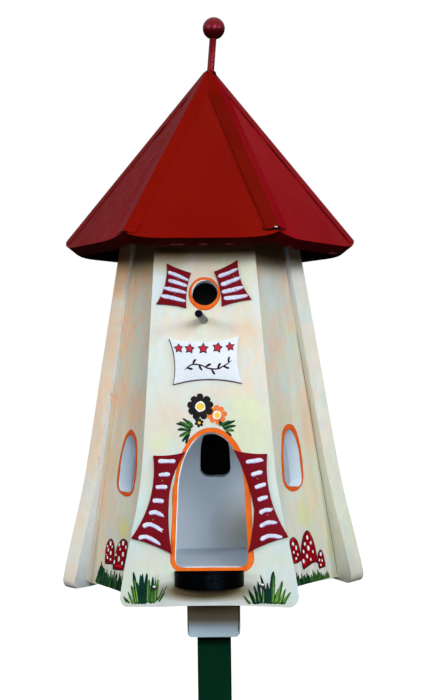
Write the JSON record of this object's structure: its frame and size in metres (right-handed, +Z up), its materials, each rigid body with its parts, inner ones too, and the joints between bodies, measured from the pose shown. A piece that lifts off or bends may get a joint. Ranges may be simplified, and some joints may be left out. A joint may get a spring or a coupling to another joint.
{
  "type": "bird house on a post stand",
  "caption": "Hexagonal painted wooden bird house with a pointed red roof, arched doorway, entrance hole with perch and nailed-on shutters, on a square green post with a cross foot",
  "frame": {"origin": "middle of the cross foot on the floor, under the post's axis", "axes": "+Z up along the post, -Y towards the entrance front, +X to the right of someone facing the front"},
  "size_m": [0.56, 0.56, 1.7702],
  "materials": {
    "green_wood": "satin dark green paint",
    "white_wood": "satin white paint",
    "ivory_wood": "brushed ivory paint",
    "roof_wood": "gloss red paint",
    "cap_metal": "gloss dark red paint",
    "finial_steel": "gloss dark red paint",
    "finial_wood": "gloss dark red paint",
    "black_wood": "satin black paint",
    "shutter_wood": "satin burgundy paint"
  },
  "bodies": {
    "root": {"foot_beam_side": "green_wood", "foot_beam_front": "green_wood", "brace_front": "green_wood", "brace_right": "green_wood", "brace_back": "green_wood", "brace_left": "green_wood", "post": "green_wood", "socket_front": "white_wood", "socket_back": "white_wood", "socket_left": "white_wood", "socket_right": "white_wood", "floor_panel": "white_wood", "front_wall": "ivory_wood", "back_left_wall": "ivory_wood", "back_right_wall": "ivory_wood", "left_window_wall": "ivory_wood", "right_window_wall": "ivory_wood", "rear_window_wall": "ivory_wood", "rear_window_cover": "black_wood", "nest_floor": "white_wood", "roof_panel_front": "roof_wood", "roof_panel_front_right": "roof_wood", "roof_panel_back_right": "roof_wood", "roof_panel_back": "roof_wood", "roof_panel_back_left": "roof_wood", "roof_panel_front_left": "roof_wood", "ridge_cap_front_right": "cap_metal", "ridge_cap_right": "cap_metal", "ridge_cap_back_right": "cap_metal", "ridge_cap_back_left": "cap_metal", "ridge_cap_left": "cap_metal", "ridge_cap_front_left": "cap_metal", "finial_rod": "finial_steel", "finial_ball": "finial_wood", "perch_peg": "black_wood", "feeding_ledge": "black_wood", "upper_shutter_left": "shutter_wood", "upper_shutter_right": "shutter_wood", "lower_shutter_left": "shutter_wood", "lower_shutter_right": "shutter_wood", "sign_plate": "white_wood"}
  },
  "joints": []
}
